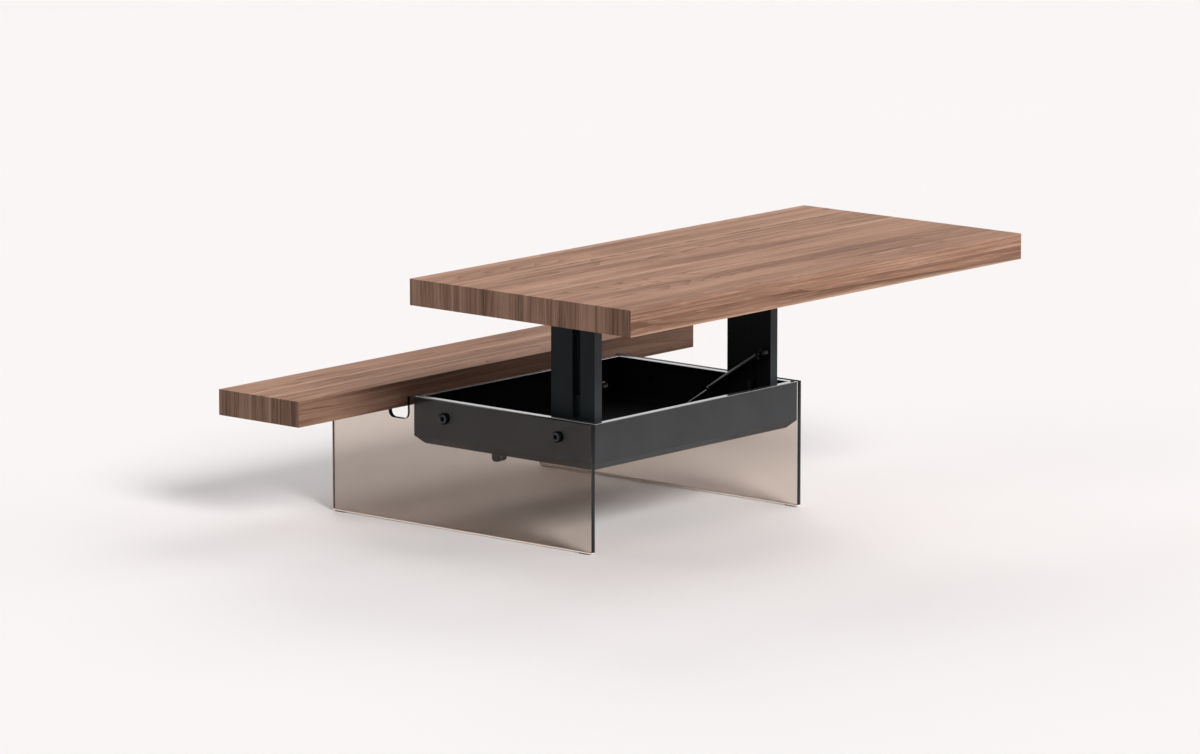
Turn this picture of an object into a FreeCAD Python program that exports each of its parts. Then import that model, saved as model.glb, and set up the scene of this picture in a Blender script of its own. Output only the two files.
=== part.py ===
import FreeCAD, Part
import os
import re
import Sketcher

from FreeCAD import Placement, Rotation, Vector

# Coffee table whose front top swings up and forward on two parallelogram linkages.
# Millimetres. +X along the top, +Y to the rear, +Z up. The origin lies on the floor,
# under the middle of the open table. The table is drawn open, with its arms upright.

SIZES = {
    # Tops
    "top_length": 1400.0,
    "lift_width": 650.0,
    "fixed_width": 250.0,
    "top_seam": 4.0,
    "top_thickness": 60.0,
    "board_thickness": 25.0,
    "apron_thickness": 16.0,
    # Glass panels
    "glass_span": 750.0,
    "glass_thickness": 12.0,
    "glass_overhang": 53.0,
    "glass_top": 300.0,
    "pad_height": 2.0,
    "pad_length": 30.0,
    "pad_inset": 8.0,
    "notch_front_room": 20.0,
    "notch_rear_room": 2.0,
    "notch_drop": 21.0,
    "notch_radius": 14.0,
    # Channels that hold the fixed top on the glass
    "channel_wall": 2.0,
    "channel_depth": 20.0,
    "channel_flange": 26.0,
    "channel_inset": 4.0,
    "channel_screw_inset": 20.0,
    # Tray
    "tray_gap": 2.0,
    "tray_inset": 1.0,
    "tray_rear_gap": 32.0,
    "tray_depth": 110.0,
    "tray_sheet": 2.0,
    "tray_bevel": 18.0,
    "rim_flange": 15.0,
    "bumper_radius": 5.0,
    "bumper_height": 1.7,
    # Bolts through the glass
    "bolt_inset": 102.0,
    "bolt_drop": 39.0,
    "bolt_head_radius": 12.0,
    "bolt_head_height": 6.0,
    "bolt_socket": 3.5,
    "bolt_radius": 4.0,
    "bolt_tail": 1.0,
    "bush_radius": 7.0,
    "gasket_thickness": 1.0,
    "nut_radius": 7.5,
    "nut_height": 6.5,
    # Arms
    "arm_margin": 310.0,
    "fold_angle": 87.0,
    "arm_plane": 314.0,
    "pivot_setback": 53.0,
    "pivot_cover": 26.0,
    "front_arm_depth": 43.0,
    "front_arm_width": 25.5,
    "front_arm_wall": 3.0,
    "front_arm_round": 18.0,
    "cover_start": 80.0,
    "cover_overlap": 1.5,
    "cover_round": 10.0,
    "shield_thickness": 6.0,
    "shield_gap": 4.5,
    "shield_round": 5.0,
    "rear_arm_depth": 64.5,
    "rear_foot_cut": 5.5,
    "rear_foot_slope": 17.0,
    "rear_foot_hide": 4.0,
    "rear_arm_width": 18.0,
    "rear_arm_round": 16.0,
    "rear_pivot_inset": 20.0,
    "rear_pivot_drop": 24.0,
    "arm_gap": 27.0,
    "arm_end": 20.0,
    # Pivots
    "pin_radius": 5.0,
    "pin_head_radius": 8.0,
    "pin_head_height": 2.5,
    "bush_wall": 1.5,
    "running_fit": 0.05,
    "side_clearance": 0.5,
    "ear_thickness": 4.0,
    "ear_margin": 15.0,
    "inner_foot": 20.0,
    "outer_foot": 10.0,
    "foot_thickness": 3.0,
    "bracket_plate": 3.0,
    "bracket_wing": 13.0,
    # Screws and rivets
    "screw_radius": 2.5,
    "screw_head_radius": 4.5,
    "screw_head_height": 2.5,
    "screw_bite": 14.0,
    # Gas struts
    "strut_offset": 27.0,
    "stud_lead": 12.0,
    "stud_rise": 116.0,
    "stud_radius": 5.0,
    "anchor_setback": 351.0,
    "anchor_drop": 18.0,
    "anchor_width": 26.0,
    "anchor_length": 24.0,
    "anchor_sheet": 2.5,
    "anchor_round": 9.0,
    "anchor_flange": 12.0,
    "anchor_pin_radius": 3.0,
    "strut_eye_radius": 8.0,
    "strut_eye_width": 14.0,
    "strut_boss_radius": 6.0,
    "strut_boss_height": 4.0,
    "strut_neck": 18.0,
    "strut_neck_radius": 5.0,
    "barrel_radius": 9.0,
    "barrel_length": 181.0,
    "barrel_bottom": 4.0,
    "rod_radius": 4.0,
    "rod_in_barrel": 10.0,
    "rod_eye_radius": 6.5,
    "rod_eye_width": 10.0,
    "slot_margin": 2.5,
    "slot_lead": 20.0,
}

# Places and sizes worked out from the driving dimensions
FORMULAS = {
    # A wider top swings further forward, and keeps the same cover over the tray
    "arm_length": "lift_width - arm_margin",
    "travel": "arm_length * sin(fold_angle)",
    "rise": "arm_length * (1 - cos(fold_angle))",
    "top_depth": "lift_width + top_seam + fixed_width",
    "edge_drop": "top_thickness - board_thickness",
    "glass_length": "top_depth - 2 * glass_overhang",
    # The glass front edge in Y, which centres the open table on the origin
    "glass_front": "(travel + 2 * glass_overhang - top_depth) / 2",
    "glass_rear": "glass_front + glass_length",
    "fixed_front": "glass_front - glass_overhang + lift_width + top_seam",
    "lift_front": "glass_front - glass_overhang - travel",
    "under_closed": "glass_top + channel_wall",
    "fixed_bottom": "under_closed - edge_drop",
    "lift_under": "under_closed + rise",
    "lift_bottom": "fixed_bottom + rise",
    # Glass
    "glass_outer": "glass_span / 2",
    "glass_middle": "glass_outer - glass_thickness / 2",
    "glass_inner": "glass_outer - glass_thickness",
    "notch_start": "fixed_front - top_seam - apron_thickness - notch_front_room - glass_front",
    "notch_end": "fixed_front + apron_thickness + notch_rear_room - glass_front",
    "notch_floor": "fixed_bottom - notch_drop - pad_height",
    "glass_height": "glass_top - pad_height",
    # Tray
    "tray_outer": "glass_inner - tray_gap",
    "tray_front": "glass_front + tray_inset",
    # The lifting top's rear apron comes down behind the tray
    "tray_rear": "fixed_front - top_seam - apron_thickness - tray_rear_gap",
    "tray_length": "tray_rear - tray_front",
    "tray_bottom": "glass_top - tray_depth",
    "tray_floor": "tray_bottom + tray_sheet",
    # Pivots, in the open position
    "front_pivot": "tray_front + pivot_setback",
    "rear_pivot": "front_pivot + front_arm_depth / 2 + arm_gap + rear_pivot_inset",
    "low_pivot": "under_closed - pivot_cover - arm_length * cos(fold_angle)",
    "rear_low_pivot": "low_pivot - rear_pivot_drop",
    "front_arm_inner": "arm_plane - front_arm_width / 2",
    "front_arm_outer": "arm_plane + front_arm_width / 2",
    "inner_ear": "front_arm_inner - side_clearance - ear_thickness",
    "outer_ear": "front_arm_outer + side_clearance",
    # Struts
    "strut_plane": "arm_plane - strut_offset",
    "stud_place": "front_pivot - stud_lead",
    "stud_level": "low_pivot + stud_rise",
    "anchor_place": "tray_front + anchor_setback",
    "anchor_level": "tray_bottom - anchor_drop",
    "strut_run": "anchor_place - stud_place",
    "strut_fall": "stud_level - anchor_level",
    "strut_length": "sqrt(strut_run ^ 2 + strut_fall ^ 2)",
    "strut_slope": "atan(strut_fall / strut_run)",
    "barrel_end": "strut_neck + barrel_length",
    "anchor_base": "anchor_level - rod_eye_radius - 2 * side_clearance - anchor_sheet",
}

SIDES = {"left": -1, "right": 1}
X_AXIS = Vector(1, 0, 0)
Y_AXIS = Vector(0, 1, 0)
Z_AXIS = Vector(0, 0, 1)
ALONG_X = Rotation(Y_AXIS, 90)
NO_TURN = Rotation()

doc = FreeCAD.newDocument("lift_top_table")
sheet = doc.addObject("Spreadsheet::Sheet", "Sizes")
for row, (alias, value) in enumerate(SIZES.items(), start=1):
    sheet.set("A%d" % row, alias)
    sheet.set("B%d" % row, str(value))
    sheet.setAlias("B%d" % row, alias)
doc.recompute()

sub_parts = []


def formula(text):
    """Write a formula of named sizes as an expression on the sheet's cells."""
    def expand(match):
        word = match.group(0)
        if word in FORMULAS:
            return "(" + formula(FORMULAS[word]) + ")"
        if word in SIZES:
            return "Sizes." + word
        return word
    return re.sub(r"[A-Za-z_]\w*", expand, str(text))


def bind(item, **properties):
    for name, text in properties.items():
        item.setExpression(name, formula(text))


def place(item, x=0, y=0, z=0, turn=NO_TURN):
    item.Placement = Placement(Vector(), turn)
    for axis, text in zip("xyz", (x, y, z)):
        item.setExpression("Placement.Base." + axis, formula(text))
    return item


def finished(item, label):
    item.Label = label
    sub_parts.append(item)
    return item


def mirrored(side, near, size):
    """The lower X of a piece of one size whose inner face is near from the middle."""
    return near if side > 0 else "-(%s) - (%s)" % (near, size)


# Solids bound to the sheet

def box(name, length, width, height, x, y, z):
    item = doc.addObject("Part::Box", name)
    bind(item, Length=length, Width=width, Height=height)
    return place(item, x, y, z)


def rod(name, radius, length, x, y, z, turn=NO_TURN):
    item = doc.addObject("Part::Cylinder", name)
    bind(item, Radius=radius, Height=length)
    return place(item, x, y, z, turn)


def cross_rod(name, radius, length, side, near, y, z):
    """A cylinder along X on one side of the table, its inner end near from the middle."""
    return rod(name, radius, length, mirrored(side, near, length), y, z, ALONG_X)


def hexagon(name, radius, length, side, near, y, z):
    item = doc.addObject("Part::Prism", name)
    item.Polygon = 6
    bind(item, Circumradius=radius, Height=length)
    return place(item, mirrored(side, near, length), y, z, ALONG_X)


def tapered(name, base, top, height, x, y, z, turn):
    """A board whose base and top are rectangles with one centre line, along its own Y."""
    item = doc.addObject("Part::Wedge", name)
    bind(item, Ymin=0, Ymax=height)
    for suffix, (half, low, high) in (("", base), ("2", top)):
        bind(item, **{
            "X%smin" % suffix: "-(%s)" % half,
            "X%smax" % suffix: half,
            "Z%smin" % suffix: low,
            "Z%smax" % suffix: high,
        })
    return place(item, x, y, z, turn)


def joined(name, items):
    item = doc.addObject("Part::MultiFuse", name)
    item.Shapes = items
    return item


def group(name, items):
    item = doc.addObject("Part::Compound", name)
    item.Links = items
    return item


def cut(name, base, tools):
    item = doc.addObject("Part::Cut", name)
    item.Base = base
    item.Tool = tools[0] if len(tools) == 1 else joined(name + "_tools", tools)
    return item


# Bodies made from sketches

def origin_plane(body, role):
    return next(feature for feature in body.Origin.OriginFeatures if feature.Role == role)


def new_sketch(body, name, role):
    sketch = body.newObject("Sketcher::SketchObject", name)
    sketch.AttachmentSupport = [(origin_plane(body, role), "")]
    sketch.MapMode = "FlatFace"
    return sketch


def pin_point(sketch, geometry, point, across, up):
    """Hold one point of a sketch at its distances from the sketch's origin."""
    for kind, text, axis in (("DistanceX", across, -2), ("DistanceY", up, -1)):
        if str(text) == "0":
            sketch.addConstraint(Sketcher.Constraint("PointOnObject", geometry, point, axis))
            continue
        value = sheet_value(text)
        index = sketch.addConstraint(Sketcher.Constraint(kind, -1, 1, geometry, point, value))
        sketch.setExpression("Constraints[%d]" % index, formula(text))


def sheet_value(text):
    return float(sheet.evalExpression(formula(text).replace("Sizes.", "")))


def outline(sketch, points):
    """A closed outline of straight lines through points given as formulas."""
    corners = [Vector(sheet_value(across), sheet_value(up), 0) for across, up in points]
    first = sketch.GeometryCount
    count = len(points)
    for index in range(count):
        sketch.addGeometry(Part.LineSegment(corners[index], corners[(index + 1) % count]), False)
    for index in range(count):
        following = first + (index + 1) % count
        sketch.addConstraint(Sketcher.Constraint("Coincident", first + index, 2, following, 1))
    for index, (across, up) in enumerate(points):
        pin_point(sketch, first + index, 1, across, up)


def circle(sketch, across, up, radius):
    centre = Vector(sheet_value(across), sheet_value(up), 0)
    geometry = sketch.addGeometry(Part.Circle(centre, Z_AXIS, sheet_value(radius)), False)
    pin_point(sketch, geometry, 3, across, up)
    index = sketch.addConstraint(Sketcher.Constraint("Radius", geometry, sheet_value(radius)))
    sketch.setExpression("Constraints[%d]" % index, formula(radius))


def padded(name, role, points, depth):
    body = doc.addObject("PartDesign::Body", name)
    sketch = new_sketch(body, name + "_outline", role)
    outline(sketch, points)
    pad = body.newObject("PartDesign::Pad", name + "_pad")
    pad.Profile = sketch
    bind(pad, Length=depth)
    doc.recompute()
    return body


def pocketed(body, name, role, outlines=(), circles=()):
    """Cut shapes drawn on an origin plane right through the body that stands on it."""
    sketch = new_sketch(body, name + "_outline", role)
    for points in outlines:
        outline(sketch, points)
    for across, up, radius in circles:
        circle(sketch, across, up, radius)
    before = body.Shape.Volume
    pocket = body.newObject("PartDesign::Pocket", name)
    pocket.Profile = sketch
    pocket.Type = 1
    pocket.Reversed = True
    doc.recompute()
    assert body.Shape.Volume < before, name + " cuts nothing"
    return body


def rounded(body, name, radius, chosen):
    """Round the edges of a body that a test on their ends picks out."""
    tip = body.Tip
    names = []
    for number, edge in enumerate(tip.Shape.Edges, start=1):
        ends = [vertex.Point for vertex in edge.Vertexes]
        if len(ends) == 2 and chosen(ends[0], ends[1]):
            names.append("Edge%d" % number)
    fillet = body.newObject("PartDesign::Fillet", name)
    fillet.Base = (tip, names)
    bind(fillet, Radius=radius)
    doc.recompute()
    return body


def along(axis):
    """A test for straight edges that run along one axis."""
    def test(start, end):
        step = end - start
        return abs(abs(step.dot(axis)) - step.Length) < 1e-6
    return test


# Tops: a board and four aprons, mitred along every edge so that no joint shows

def mitred_top(prefix, front, width, bottom, board_holes):
    middle = "%s + %s / 2" % (front, width)
    length_half = "top_length / 2"
    width_half = "%s / 2" % width
    board = tapered(
        prefix + "_board_blank",
        (length_half + " - apron_thickness", "apron_thickness - " + width_half,
         width_half + " - apron_thickness"),
        (length_half, "-(%s)" % width_half, width_half),
        "board_thickness", 0, middle, bottom + " + edge_drop", Rotation(X_AXIS, 90))
    finished(cut(prefix + "_board_cut", board, board_holes), prefix + "_board")
    aprons = (
        ("front_apron", length_half, 0, front, NO_TURN),
        ("rear_apron", length_half, 0, "%s + %s" % (front, width), Rotation(Z_AXIS, 180)),
        ("left_apron", width_half, "-top_length / 2", middle, Rotation(Z_AXIS, -90)),
        ("right_apron", width_half, "top_length / 2", middle, Rotation(Z_AXIS, 90)),
    )
    for name, half, x, y, turn in aprons:
        apron = tapered(
            prefix + "_" + name + "_solid",
            (half, 0, "top_thickness"), (half + " - apron_thickness", 0, "edge_drop"),
            "apron_thickness", x, y, bottom, turn)
        finished(apron, prefix + "_" + name)


# Glass panels, their pads and the bolts that carry the tray

BOLT_PLACES = {"front": "tray_front + bolt_inset", "rear": "tray_rear - bolt_inset"}
BOLT_LEVEL = "glass_top - bolt_drop"


def glass_panel(label, side):
    points = [
        ("0", "0"), ("glass_length", "0"), ("glass_length", "glass_height"),
        ("notch_end", "glass_height"), ("notch_end", "notch_floor"),
        ("notch_start", "notch_floor"), ("notch_start", "glass_height"), ("0", "glass_height"),
    ]
    body = padded("glass_" + label, "YZ_Plane", points, "glass_thickness")
    floor = sheet_value("notch_floor")
    rounded(body, "glass_notch_round_" + label, "notch_radius", lambda start, end: (
        along(X_AXIS)(start, end) and abs(start.z - floor) < 1e-6))
    holes = [
        ("%s - glass_front" % place_y, BOLT_LEVEL + " - pad_height", "bush_radius")
        for place_y in BOLT_PLACES.values()
    ]
    pocketed(body, "glass_holes_" + label, "YZ_Plane", circles=holes)
    place(body, mirrored(side, "glass_inner", "glass_thickness"), "glass_front", "pad_height")
    finished(body, "glass_panel_" + label)


def ring(name, outer, inner, length, side, near, y, z):
    return cut(name, cross_rod(name + "_disc", outer, length, side, near, y, z),
               [cross_rod(name + "_bore", inner, length, side, near, y, z)])


def glass_hardware():
    pads, bolts, washers, bushes, nuts = [], [], [], [], []
    for label, side in SIDES.items():
        for end, y in (("front", "glass_front + pad_inset"),
                       ("rear", "glass_rear - pad_inset - pad_length")):
            pads.append(box("pad_%s_%s" % (end, label), "glass_thickness", "pad_length",
                            "pad_height", mirrored(side, "glass_inner", "glass_thickness"), y, 0))
        for end, y in BOLT_PLACES.items():
            tag = "%s_%s" % (end, label)
            head_near = "glass_outer + gasket_thickness"
            nut_near = "tray_outer - tray_sheet - nut_height"
            shank = "%s - (%s) + bolt_tail" % (head_near, nut_near)
            head = cross_rod("bolt_head_" + tag, "bolt_head_radius", "bolt_head_height",
                             side, head_near, y, BOLT_LEVEL)
            body = cross_rod("bolt_shank_" + tag, "bolt_radius", shank, side,
                             nut_near + " - bolt_tail", y, BOLT_LEVEL)
            socket = hexagon("bolt_socket_" + tag, "bolt_socket", "bolt_head_height", side,
                             head_near + " + bolt_head_height / 3", y, BOLT_LEVEL)
            bolts.append(cut("bolt_" + tag, joined("bolt_blank_" + tag, [head, body]), [socket]))
            bore = "bolt_radius + running_fit"
            washers.append(ring("outer_washer_" + tag, "bolt_head_radius", bore,
                                "gasket_thickness", side, "glass_outer", y, BOLT_LEVEL))
            washers.append(ring("inner_washer_" + tag, "bolt_head_radius", bore,
                                "tray_gap", side, "tray_outer", y, BOLT_LEVEL))
            bushes.append(ring("bush_" + tag, "bush_radius - running_fit", bore,
                               "glass_thickness", side, "glass_inner", y, BOLT_LEVEL))
            nut = hexagon("nut_blank_" + tag, "nut_radius", "nut_height", side, nut_near, y,
                          BOLT_LEVEL)
            nuts.append(cut("nut_" + tag, nut, [
                cross_rod("nut_bore_" + tag, bore, "nut_height", side, nut_near, y, BOLT_LEVEL)]))
    finished(group("pads", pads), "glass_foot_pads")
    finished(group("bolts", bolts), "glass_bolts")
    finished(group("washers", washers), "glass_gaskets")
    finished(group("bushes", bushes), "glass_hole_bushes")
    finished(group("nuts", nuts), "tray_bolt_nuts")


# Channels on the glass edges, inside the fixed top

CHANNEL_START = "glass_front + notch_end + channel_inset"
CHANNEL_LENGTH = "glass_length - notch_end - 2 * channel_inset"
CHANNEL_SCREWS = ("channel_screw_inset", CHANNEL_LENGTH + " - channel_screw_inset")


def channel_screw_place(side, offset):
    near = "glass_inner - channel_wall - channel_flange / 2"
    x = near if side > 0 else "-(%s)" % near
    return x, "%s + %s" % (CHANNEL_START, offset)


def glass_channel(label, side):
    wall_x = mirrored(side, "glass_inner - channel_wall", "channel_wall")
    outer_x = mirrored(side, "glass_outer", "channel_wall")
    web_x = mirrored(side, "glass_inner - channel_wall - channel_flange",
                     "glass_thickness + 2 * channel_wall + channel_flange")
    web = box("channel_web_" + label, "glass_thickness + 2 * channel_wall + channel_flange",
              CHANNEL_LENGTH, "channel_wall", web_x, CHANNEL_START, "glass_top")
    legs = [
        box("channel_%s_leg_%s" % (name, label), "channel_wall", CHANNEL_LENGTH, "channel_depth",
            x, CHANNEL_START, "glass_top - channel_depth")
        for name, x in (("inner", wall_x), ("outer", outer_x))
    ]
    holes = []
    for number, offset in enumerate(CHANNEL_SCREWS):
        x, y = channel_screw_place(side, offset)
        holes.append(rod("channel_hole_%s_%d" % (label, number), "screw_radius + running_fit",
                         "channel_wall", x, y, "glass_top"))
    folded = joined("channel_folded_" + label, [web] + legs)
    finished(cut("channel_" + label, folded, holes), "glass_channel_" + label)


def screw(name, x, y, seat, up):
    """A screw driven upwards, its head under the level of seat."""
    head = rod(name + "_head", "screw_head_radius", "screw_head_height", x, y,
               seat + " - screw_head_height")
    return joined(name, [head, rod(name + "_shank", "screw_radius", up, x, y, seat)])


def fixed_top():
    holes, screws = [], []
    for label, side in SIDES.items():
        glass_channel(label, side)
        for number, offset in enumerate(CHANNEL_SCREWS):
            x, y = channel_screw_place(side, offset)
            tag = "%s_%d" % (label, number)
            holes.append(rod("fixed_board_hole_" + tag, "screw_radius + running_fit",
                             "screw_bite", x, y, "under_closed"))
            screws.append(screw("channel_screw_" + tag, x, y, "glass_top",
                                "channel_wall + screw_bite"))
    mitred_top("fixed_top", "fixed_front", "fixed_width", "fixed_bottom", holes)
    finished(group("channel_screw_set", screws), "channel_screws")


# Tray: one folded sheet with bevelled lower edges, a turned-in rim and slots for the struts

FOOT_PLACES = ("front_pivot", "rear_pivot")

# Inner X and width of each pivot plate's foot, measured from the middle
FEET = {
    "inner": ("inner_ear - inner_foot", "inner_foot"),
    "outer": ("outer_ear + ear_thickness", "outer_foot"),
}


def foot_rivet_place(side, which):
    near, width = FEET[which]
    return "%d * (%s + %s / 2)" % (side, near, width)


def tray():
    body = padded("tray", "XY_Plane", [
        ("0", "0"), ("2 * tray_outer", "0"), ("2 * tray_outer", "tray_length"),
        ("0", "tray_length")], "tray_depth")
    tip = body.Tip
    low = ["Edge%d" % number for number, edge in enumerate(tip.Shape.Edges, start=1)
           if all(abs(vertex.Z) < 1e-6 for vertex in edge.Vertexes)]
    bevel = body.newObject("PartDesign::Chamfer", "tray_bevels")
    bevel.Base = (tip, low)
    bind(bevel, Size="tray_bevel")
    doc.recompute()
    height = sheet_value("tray_depth")
    open_face = ["Face%d" % number for number, face in enumerate(bevel.Shape.Faces, start=1)
                 if abs(face.BoundBox.ZMin - height) < 1e-6]
    shell = body.newObject("PartDesign::Thickness", "tray_shell")
    shell.Base = (bevel, open_face)
    shell.Reversed = True
    bind(shell, Value="tray_sheet")
    doc.recompute()
    place(body, "-tray_outer", "tray_front", "tray_bottom")
    rim = cut("tray_rim", box(
        "tray_rim_sheet", "2 * tray_outer", "tray_length", "tray_sheet",
        "-tray_outer", "tray_front", "glass_top - tray_sheet"), [box(
            "tray_mouth", "2 * (tray_outer - rim_flange)", "tray_length - 2 * rim_flange",
            "tray_sheet", "rim_flange - tray_outer", "tray_front + rim_flange",
            "glass_top - tray_sheet")])
    openings = []
    for label, side in SIDES.items():
        for end, y in BOLT_PLACES.items():
            openings.append(cross_rod(
                "tray_bolt_hole_%s_%s" % (end, label), "bolt_radius + running_fit",
                "tray_sheet", side, "tray_outer - tray_sheet", y, BOLT_LEVEL))
        for which in FEET:
            for number, y in enumerate(FOOT_PLACES):
                openings.append(rod(
                    "tray_rivet_hole_%s_%s_%d" % (label, which, number),
                    "screw_radius + running_fit", "tray_sheet",
                    foot_rivet_place(side, which), y, "tray_bottom"))
        openings.append(strut_slot(label, side))
    finished(cut("tray_cut", joined("tray_folded", [body, rim]), openings), "storage_tray")


def strut_slot(label, side):
    """The slot in the tray floor that the strut passes through on its way to its anchor."""
    width = "2 * (barrel_radius + slot_margin)"
    start = "anchor_place - anchor_drop - 2 * barrel_radius - slot_lead"
    return box("strut_slot_" + label, width, "anchor_place + rod_eye_radius - (%s)" % start,
               "tray_sheet", mirrored(side, "strut_plane - barrel_radius - slot_margin", width),
               start, "tray_bottom")


def bumpers():
    items = []
    inset = "rim_flange / 2"
    for label, side in SIDES.items():
        x = "%d * (tray_outer - %s)" % (side, inset)
        for end, y in (("front", "tray_front + " + inset), ("rear", "tray_rear - " + inset)):
            items.append(rod("bumper_%s_%s" % (end, label), "bumper_radius", "bumper_height",
                             x, y, "glass_top"))
    finished(group("bumper_set", items), "rim_bumpers")


# Pivot plates on the tray floor, with the pins of the lower pivots

LOW_PINS = {"front": ("front_pivot", "low_pivot"), "rear": ("rear_pivot", "rear_low_pivot")}
EARS = {"inner": "inner_ear", "outer": "outer_ear"}


def pin_holes(name, side, near, rise=""):
    return [
        cross_rod("%s_%s_hole" % (name, end), "pin_radius + running_fit", "ear_thickness",
                  side, near, y, z + rise)
        for end, (y, z) in LOW_PINS.items()
    ]


def pivot_plates():
    rivets = []
    for label, side in SIDES.items():
        for which, near in EARS.items():
            tag = "%s_%s" % (which, label)
            length = "rear_pivot - front_pivot + 2 * ear_margin"
            top = "low_pivot + ear_margin - tray_floor"
            slope = "2 * rear_pivot_drop"
            ear = padded("pivot_ear_" + tag, "YZ_Plane", [
                ("0", "0"), (length, "0"), (length, "%s - rear_pivot_drop" % top),
                ("%s - %s" % (length, slope), top), ("0", top)], "ear_thickness")
            rounded(ear, "pivot_ear_round_" + tag, "ear_margin / 2", lambda start, end: (
                along(X_AXIS)(start, end) and start.z > 1.0))
            place(ear, mirrored(side, near, "ear_thickness"), "front_pivot - ear_margin",
                  "tray_floor")
            foot_near, foot_width = FEET[which]
            foot = box("pivot_foot_" + tag, foot_width, length, "foot_thickness",
                       mirrored(side, foot_near, foot_width), "front_pivot - ear_margin",
                       "tray_floor")
            holes = pin_holes("pivot_plate_" + tag, side, near)
            for number, y in enumerate(FOOT_PLACES):
                x = foot_rivet_place(side, which)
                holes.append(rod("foot_hole_%s_%d" % (tag, number), "screw_radius + running_fit",
                                 "foot_thickness", x, y, "tray_floor"))
                shank = rod("rivet_shank_%s_%d" % (tag, number), "screw_radius",
                            "tray_sheet + foot_thickness", x, y, "tray_bottom")
                head = rod("rivet_head_%s_%d" % (tag, number), "screw_head_radius",
                           "screw_head_height", x, y, "tray_floor + foot_thickness")
                rivets.append(joined("rivet_%s_%d" % (tag, number), [shank, head]))
            plate = joined("pivot_angle_" + tag, [ear, foot])
            finished(cut("pivot_plate_cut_" + tag, plate, holes), "pivot_plate_" + tag)
    finished(group("rivet_set", rivets), "pivot_plate_rivets")


def pins(label, name, rise):
    """The headed pins of one set of pivots, from ear to ear on both sides."""
    items = []
    for side_label, side in SIDES.items():
        for end, (y, z) in LOW_PINS.items():
            tag = "%s_%s_%s" % (name, end, side_label)
            length = "outer_ear + ear_thickness - inner_ear"
            shank = cross_rod("pin_shank_" + tag, "pin_radius", length, side, "inner_ear", y,
                              z + rise)
            heads = [
                cross_rod("pin_%s_head_%s" % (which, tag), "pin_head_radius", "pin_head_height",
                          side, near, y, z + rise)
                for which, near in (("inner", "inner_ear - pin_head_height"),
                                    ("outer", "outer_ear + ear_thickness"))
            ]
            items.append(joined("pin_" + tag, [shank] + heads))
    finished(group("pins_" + name, items), label)


# Arms: a channel in front, and behind it a bar that nests in the channel when folded.
# The channel's inner wall reaches back to the bar, and closes the gap between the two.
# Lower down, where the bar's pin swings past that wall, a thin shield on the bar closes it.
# The bar's foot, out of sight in the tray, is narrower, to clear the tray's floor when folded.

def arm_bushes(label, arm, width, near_edges, side, y, level):
    """Plain bushes in both ends of an arm, which turn on the pins."""
    items = []
    for end, rise in (("low", ""), ("high", " + arm_length")):
        for number, near in enumerate(near_edges):
            tag = "%s_%s_%s_%d" % (arm, label, end, number)
            items.append(ring("arm_bush_" + tag, "pin_radius + bush_wall",
                              "pin_radius + running_fit", width, side, near, y, level + rise))
    finished(group("bushes_%s_%s" % (arm, label), items), "%s_arm_bushes_%s" % (arm, label))


def bush_seats(arm, label, width, side, near, y, level):
    return [
        cross_rod("bush_seat_%s_%s_%s" % (arm, label, end), "pin_radius + bush_wall", width,
                  side, near, y, level + rise)
        for end, rise in (("low", ""), ("high", " + arm_length"))
    ]


def front_arm(label, side):
    length = "arm_length + 2 * arm_end"
    blank = padded("front_arm_blank_" + label, "YZ_Plane", [
        ("0", "0"), ("front_arm_depth", "0"), ("front_arm_depth", length), ("0", length)],
        "front_arm_width")
    rounded(blank, "front_arm_ends_" + label, "front_arm_round", along(X_AXIS))
    place(blank, mirrored(side, "front_arm_inner", "front_arm_width"),
          "front_pivot - front_arm_depth / 2", "low_pivot - arm_end")
    hollow = box("front_arm_hollow_" + label, "front_arm_width - 2 * front_arm_wall",
                 "front_arm_depth - front_arm_wall", length,
                 mirrored(side, "front_arm_inner + front_arm_wall",
                          "front_arm_width - 2 * front_arm_wall"),
                 "front_pivot - front_arm_depth / 2 + front_arm_wall", "low_pivot - arm_end")
    cover_depth = "front_arm_depth / 2 + arm_gap + cover_overlap"
    cover_height = "arm_length + arm_end - cover_start"
    cover = padded("front_arm_cover_" + label, "YZ_Plane", [
        ("0", "0"), (cover_depth, "0"), (cover_depth, cover_height), ("0", cover_height)],
        "front_arm_wall")
    rounded(cover, "front_arm_cover_round_" + label, "cover_round", lambda start, end: (
        along(X_AXIS)(start, end) and start.y > 1.0))
    place(cover, mirrored(side, "front_arm_inner", "front_arm_wall"), "front_pivot",
          "low_pivot + cover_start")
    seats = bush_seats("front", label, "front_arm_width", side, "front_arm_inner",
                       "front_pivot", "low_pivot")
    stud_hole = cross_rod("stud_hole_" + label, "stud_radius / 2", "front_arm_wall", side,
                          "front_arm_inner", "stud_place", "stud_level")
    channel = cut("front_arm_channel_" + label, blank, [hollow])
    folded = joined("front_arm_folded_" + label, [channel, cover])
    finished(cut("front_arm_cut_" + label, folded, [stud_hole] + seats), "front_arm_" + label)
    arm_bushes(label, "front", "front_arm_wall",
               ("front_arm_inner", "front_arm_outer - front_arm_wall"), side, "front_pivot",
               "low_pivot")


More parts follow.
